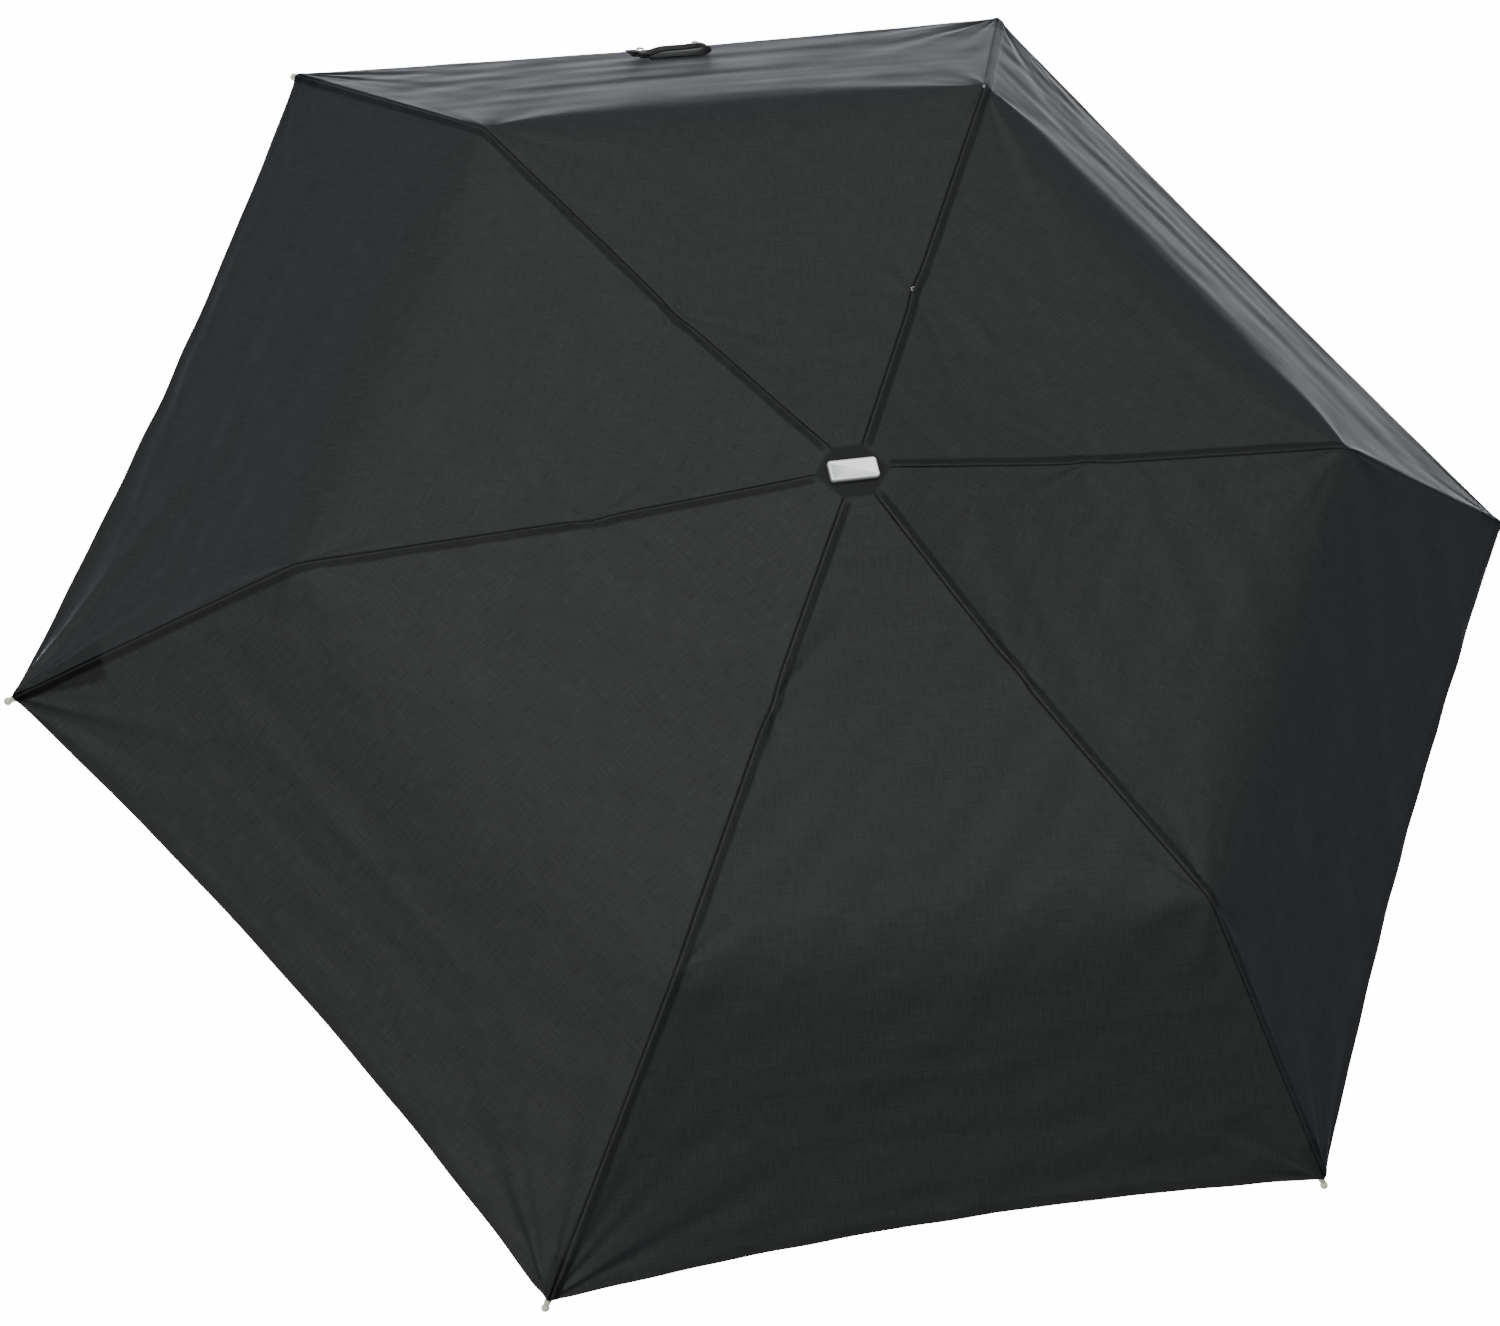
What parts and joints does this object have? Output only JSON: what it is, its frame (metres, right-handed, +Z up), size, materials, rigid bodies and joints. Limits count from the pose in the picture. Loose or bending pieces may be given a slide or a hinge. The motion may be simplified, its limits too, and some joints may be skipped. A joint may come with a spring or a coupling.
{
  "type": "folding umbrella",
  "caption": "Open folding pocket umbrella with a black ribbed canopy, telescoping shaft, sliding runner, hinged rib chains and a flat handle.",
  "frame": {"origin": "centre of the handle's flat lower face", "axes": "+Z up the shaft to the top cap, +X along the long side of the flat handle and the top cap"},
  "size_m": [0.9064, 0.7786, 0.515],
  "materials": {
    "fabric": "satin weave, thin polyester",
    "lining": "matt woven",
    "black_plastic": "moulded, fine grain",
    "grey_plastic": "moulded",
    "aluminium": "drawn tube, satin",
    "painted_steel": "black enamel over pressed steel",
    "bright_steel": "zinc plated",
    "satin_silver": "satin silver",
    "cream_plastic": "moulded, slightly glossy"
  },
  "bodies": {
    "handle": {"handle_front_shell": "black_plastic", "handle_rear_shell": "black_plastic", "handle_end_cap": "black_plastic", "handle_core": "grey_plastic", "handle_pin": "bright_steel", "lower_tube": "aluminium", "lower_catch": "bright_steel"},
    "middle_shaft": {"middle_tube": "aluminium", "middle_catch": "bright_steel"},
    "upper_shaft": {"upper_tube": "aluminium", "crown": "black_plastic", "crown_wire": "bright_steel", "top_cap": "satin_silver", "canopy": "fabric", "canopy_rosette": "lining", "closure_strap": "fabric"},
    "runner": {"runner": "black_plastic"},
    "runner_latch": {"runner_latch": "bright_steel"},
    "top_rib_1": {"top_rib_1": "painted_steel"},
    "stretcher_1": {"stretcher_1": "painted_steel"},
    "middle_rib_1": {"middle_rib_1": "painted_steel"},
    "end_rib_1": {"end_rib_1": "painted_steel", "rib_tip_1": "cream_plastic"},
    "push_link_1": {"push_link_1": "bright_steel"},
    "top_rib_2": {"top_rib_2": "painted_steel"},
    "stretcher_2": {"stretcher_2": "painted_steel"},
    "middle_rib_2": {"middle_rib_2": "painted_steel"},
    "end_rib_2": {"end_rib_2": "painted_steel", "rib_tip_2": "cream_plastic"},
    "push_link_2": {"push_link_2": "bright_steel"},
    "top_rib_3": {"top_rib_3": "painted_steel"},
    "stretcher_3": {"stretcher_3": "painted_steel"},
    "middle_rib_3": {"middle_rib_3": "painted_steel"},
    "end_rib_3": {"end_rib_3": "painted_steel", "rib_tip_3": "cream_plastic"},
    "push_link_3": {"push_link_3": "bright_steel"},
    "top_rib_4": {"top_rib_4": "painted_steel"},
    "stretcher_4": {"stretcher_4": "painted_steel"},
    "middle_rib_4": {"middle_rib_4": "painted_steel"},
    "end_rib_4": {"end_rib_4": "painted_steel", "rib_tip_4": "cream_plastic"},
    "push_link_4": {"push_link_4": "bright_steel"},
    "top_rib_5": {"top_rib_5": "painted_steel"},
    "stretcher_5": {"stretcher_5": "painted_steel"},
    "middle_rib_5": {"middle_rib_5": "painted_steel"},
    "end_rib_5": {"end_rib_5": "painted_steel", "rib_tip_5": "cream_plastic"},
    "push_link_5": {"push_link_5": "bright_steel"},
    "top_rib_6": {"top_rib_6": "painted_steel"},
    "stretcher_6": {"stretcher_6": "painted_steel"},
    "middle_rib_6": {"middle_rib_6": "painted_steel"},
    "end_rib_6": {"end_rib_6": "painted_steel", "rib_tip_6": "cream_plastic"},
    "push_link_6": {"push_link_6": "bright_steel"}
  },
  "joints": [
    {"name": "lower_slide", "type": "slide", "parent": "handle", "child": "middle_shaft", "axis": [0, 0, -1], "range_m": [0, 0.1397]},
    {"name": "upper_slide", "type": "slide", "parent": "middle_shaft", "child": "upper_shaft", "axis": [0, 0, -1], "range_m": [0, 0.1397]},
    {"name": "runner_slide", "type": "slide", "parent": "upper_shaft", "child": "runner", "axis": [0, 0, -1], "range_m": [0, 0.10476], "deforming": ["canopy", "canopy_rosette", "closure_strap"]},
    {"name": "latch_press", "type": "slide", "parent": "upper_shaft", "child": "runner_latch", "axis": [1, 0, 0], "range_m": [0, 0.001], "stiffness_N_per_m": 400},
    {"name": "top_rib_1_hinge", "type": "hinge", "parent": "upper_shaft", "child": "top_rib_1", "pos_m": [0.0125, 0, 0.505], "axis": [0, 1, 0], "range_deg": [0, 75]},
    {"name": "stretcher_1_hinge", "type": "hinge", "parent": "top_rib_1", "child": "stretcher_1", "pos_m": [0.0787, 0, 0.4894], "axis": [0, 1, 0], "range_deg": [-150, 0]},
    {"name": "middle_rib_1_hinge", "type": "hinge", "parent": "top_rib_1", "child": "middle_rib_1", "pos_m": [0.1435, 0, 0.4855], "axis": [0, 1, 0], "range_deg": [-171.45, 0]},
    {"name": "end_rib_1_hinge", "type": "hinge", "parent": "middle_rib_1", "child": "end_rib_1", "pos_m": [0.3037, 0, 0.4674], "axis": [0, 1, 0], "range_deg": [0, 143.04]},
    {"name": "push_link_1_hinge", "type": "hinge", "parent": "middle_rib_1", "child": "push_link_1", "pos_m": [0.1296, 0, 0.4871], "axis": [0, 1, 0], "range_deg": [0, 175.35]},
    {"name": "top_rib_2_hinge", "type": "hinge", "parent": "upper_shaft", "child": "top_rib_2", "pos_m": [0.00425, 0.00736, 0.505], "axis": [-0.866, 0.5, 0], "range_deg": [0, 75]},
    {"name": "stretcher_2_hinge", "type": "hinge", "parent": "top_rib_2", "child": "stretcher_2", "pos_m": [0.03735, 0.06469, 0.4894], "axis": [-0.866, 0.5, 0], "range_deg": [-150, 0]},
    {"name": "middle_rib_2_hinge", "type": "hinge", "parent": "top_rib_2", "child": "middle_rib_2", "pos_m": [0.06975, 0.12081, 0.4855], "axis": [-0.866, 0.5, 0], "range_deg": [-171.45, 0]},
    {"name": "end_rib_2_hinge", "type": "hinge", "parent": "middle_rib_2", "child": "end_rib_2", "pos_m": [0.14985, 0.25955, 0.4674], "axis": [-0.866, 0.5, 0], "range_deg": [0, 143.04]},
    {"name": "push_link_2_hinge", "type": "hinge", "parent": "middle_rib_2", "child": "push_link_2", "pos_m": [0.0628, 0.10877, 0.4871], "axis": [-0.866, 0.5, 0], "range_deg": [0, 175.35]},
    {"name": "top_rib_3_hinge", "type": "hinge", "parent": "upper_shaft", "child": "top_rib_3", "pos_m": [-0.00425, 0.00736, 0.505], "axis": [-0.866, -0.5, 0], "range_deg": [0, 75]},
    {"name": "stretcher_3_hinge", "type": "hinge", "parent": "top_rib_3", "child": "stretcher_3", "pos_m": [-0.03735, 0.06469, 0.4894], "axis": [-0.866, -0.5, 0], "range_deg": [-150, 0]},
    {"name": "middle_rib_3_hinge", "type": "hinge", "parent": "top_rib_3", "child": "middle_rib_3", "pos_m": [-0.06975, 0.12081, 0.4855], "axis": [-0.866, -0.5, 0], "range_deg": [-171.45, 0]},
    {"name": "end_rib_3_hinge", "type": "hinge", "parent": "middle_rib_3", "child": "end_rib_3", "pos_m": [-0.14985, 0.25955, 0.4674], "axis": [-0.866, -0.5, 0], "range_deg": [0, 143.04]},
    {"name": "push_link_3_hinge", "type": "hinge", "parent": "middle_rib_3", "child": "push_link_3", "pos_m": [-0.0628, 0.10877, 0.4871], "axis": [-0.866, -0.5, 0], "range_deg": [0, 175.35]},
    {"name": "top_rib_4_hinge", "type": "hinge", "parent": "upper_shaft", "child": "top_rib_4", "pos_m": [-0.0125, 0, 0.505], "axis": [0, -1, 0], "range_deg": [0, 75]},
    {"name": "stretcher_4_hinge", "type": "hinge", "parent": "top_rib_4", "child": "stretcher_4", "pos_m": [-0.0787, 0, 0.4894], "axis": [0, -1, 0], "range_deg": [-150, 0]},
    {"name": "middle_rib_4_hinge", "type": "hinge", "parent": "top_rib_4", "child": "middle_rib_4", "pos_m": [-0.1435, 0, 0.4855], "axis": [0, -1, 0], "range_deg": [-171.45, 0]},
    {"name": "end_rib_4_hinge", "type": "hinge", "parent": "middle_rib_4", "child": "end_rib_4", "pos_m": [-0.3037, 0, 0.4674], "axis": [0, -1, 0], "range_deg": [0, 143.04]},
    {"name": "push_link_4_hinge", "type": "hinge", "parent": "middle_rib_4", "child": "push_link_4", "pos_m": [-0.1296, 0, 0.4871], "axis": [0, -1, 0], "range_deg": [0, 175.35]},
    {"name": "top_rib_5_hinge", "type": "hinge", "parent": "upper_shaft", "child": "top_rib_5", "pos_m": [-0.00425, -0.00736, 0.505], "axis": [0.866, -0.5, 0], "range_deg": [0, 75]},
    {"name": "stretcher_5_hinge", "type": "hinge", "parent": "top_rib_5", "child": "stretcher_5", "pos_m": [-0.03735, -0.06469, 0.4894], "axis": [0.866, -0.5, 0], "range_deg": [-150, 0]},
    {"name": "middle_rib_5_hinge", "type": "hinge", "parent": "top_rib_5", "child": "middle_rib_5", "pos_m": [-0.06975, -0.12081, 0.4855], "axis": [0.866, -0.5, 0], "range_deg": [-171.45, 0]},
    {"name": "end_rib_5_hinge", "type": "hinge", "parent": "middle_rib_5", "child": "end_rib_5", "pos_m": [-0.14985, -0.25955, 0.4674], "axis": [0.866, -0.5, 0], "range_deg": [0, 143.04]},
    {"name": "push_link_5_hinge", "type": "hinge", "parent": "middle_rib_5", "child": "push_link_5", "pos_m": [-0.0628, -0.10877, 0.4871], "axis": [0.866, -0.5, 0], "range_deg": [0, 175.35]},
    {"name": "top_rib_6_hinge", "type": "hinge", "parent": "upper_shaft", "child": "top_rib_6", "pos_m": [0.00425, -0.00736, 0.505], "axis": [0.866, 0.5, 0], "range_deg": [0, 75]},
    {"name": "stretcher_6_hinge", "type": "hinge", "parent": "top_rib_6", "child": "stretcher_6", "pos_m": [0.03735, -0.06469, 0.4894], "axis": [0.866, 0.5, 0], "range_deg": [-150, 0]},
    {"name": "middle_rib_6_hinge", "type": "hinge", "parent": "top_rib_6", "child": "middle_rib_6", "pos_m": [0.06975, -0.12081, 0.4855], "axis": [0.866, 0.5, 0], "range_deg": [-171.45, 0]},
    {"name": "end_rib_6_hinge", "type": "hinge", "parent": "middle_rib_6", "child": "end_rib_6", "pos_m": [0.14985, -0.25955, 0.4674], "axis": [0.866, 0.5, 0], "range_deg": [0, 143.04]},
    {"name": "push_link_6_hinge", "type": "hinge", "parent": "middle_rib_6", "child": "push_link_6", "pos_m": [0.0628, -0.10877, 0.4871], "axis": [0.866, 0.5, 0], "range_deg": [0, 175.35]}
  ],
  "couplings": [
    {"joint": "top_rib_1_hinge", "follows": "runner_slide", "rad_per_m": 12.494},
    {"joint": "stretcher_1_hinge", "follows": "runner_slide", "rad_per_m": -24.988},
    {"joint": "middle_rib_1_hinge", "follows": "runner_slide", "rad_per_m": -28.561},
    {"joint": "end_rib_1_hinge", "follows": "runner_slide", "rad_per_m": 23.829},
    {"joint": "push_link_1_hinge", "follows": "runner_slide", "rad_per_m": 29.212},
    {"joint": "top_rib_2_hinge", "follows": "runner_slide", "rad_per_m": 12.494},
    {"joint": "stretcher_2_hinge", "follows": "runner_slide", "rad_per_m": -24.988},
    {"joint": "middle_rib_2_hinge", "follows": "runner_slide", "rad_per_m": -28.561},
    {"joint": "end_rib_2_hinge", "follows": "runner_slide", "rad_per_m": 23.829},
    {"joint": "push_link_2_hinge", "follows": "runner_slide", "rad_per_m": 29.212},
    {"joint": "top_rib_3_hinge", "follows": "runner_slide", "rad_per_m": 12.494},
    {"joint": "stretcher_3_hinge", "follows": "runner_slide", "rad_per_m": -24.988},
    {"joint": "middle_rib_3_hinge", "follows": "runner_slide", "rad_per_m": -28.561},
    {"joint": "end_rib_3_hinge", "follows": "runner_slide", "rad_per_m": 23.829},
    {"joint": "push_link_3_hinge", "follows": "runner_slide", "rad_per_m": 29.212},
    {"joint": "top_rib_4_hinge", "follows": "runner_slide", "rad_per_m": 12.494},
    {"joint": "stretcher_4_hinge", "follows": "runner_slide", "rad_per_m": -24.988},
    {"joint": "middle_rib_4_hinge", "follows": "runner_slide", "rad_per_m": -28.561},
    {"joint": "end_rib_4_hinge", "follows": "runner_slide", "rad_per_m": 23.829},
    {"joint": "push_link_4_hinge", "follows": "runner_slide", "rad_per_m": 29.212},
    {"joint": "top_rib_5_hinge", "follows": "runner_slide", "rad_per_m": 12.494},
    {"joint": "stretcher_5_hinge", "follows": "runner_slide", "rad_per_m": -24.988},
    {"joint": "middle_rib_5_hinge", "follows": "runner_slide", "rad_per_m": -28.561},
    {"joint": "end_rib_5_hinge", "follows": "runner_slide", "rad_per_m": 23.829},
    {"joint": "push_link_5_hinge", "follows": "runner_slide", "rad_per_m": 29.212},
    {"joint": "top_rib_6_hinge", "follows": "runner_slide", "rad_per_m": 12.494},
    {"joint": "stretcher_6_hinge", "follows": "runner_slide", "rad_per_m": -24.988},
    {"joint": "middle_rib_6_hinge", "follows": "runner_slide", "rad_per_m": -28.561},
    {"joint": "end_rib_6_hinge", "follows": "runner_slide", "rad_per_m": 23.829},
    {"joint": "push_link_6_hinge", "follows": "runner_slide", "rad_per_m": 29.212}
  ]
}
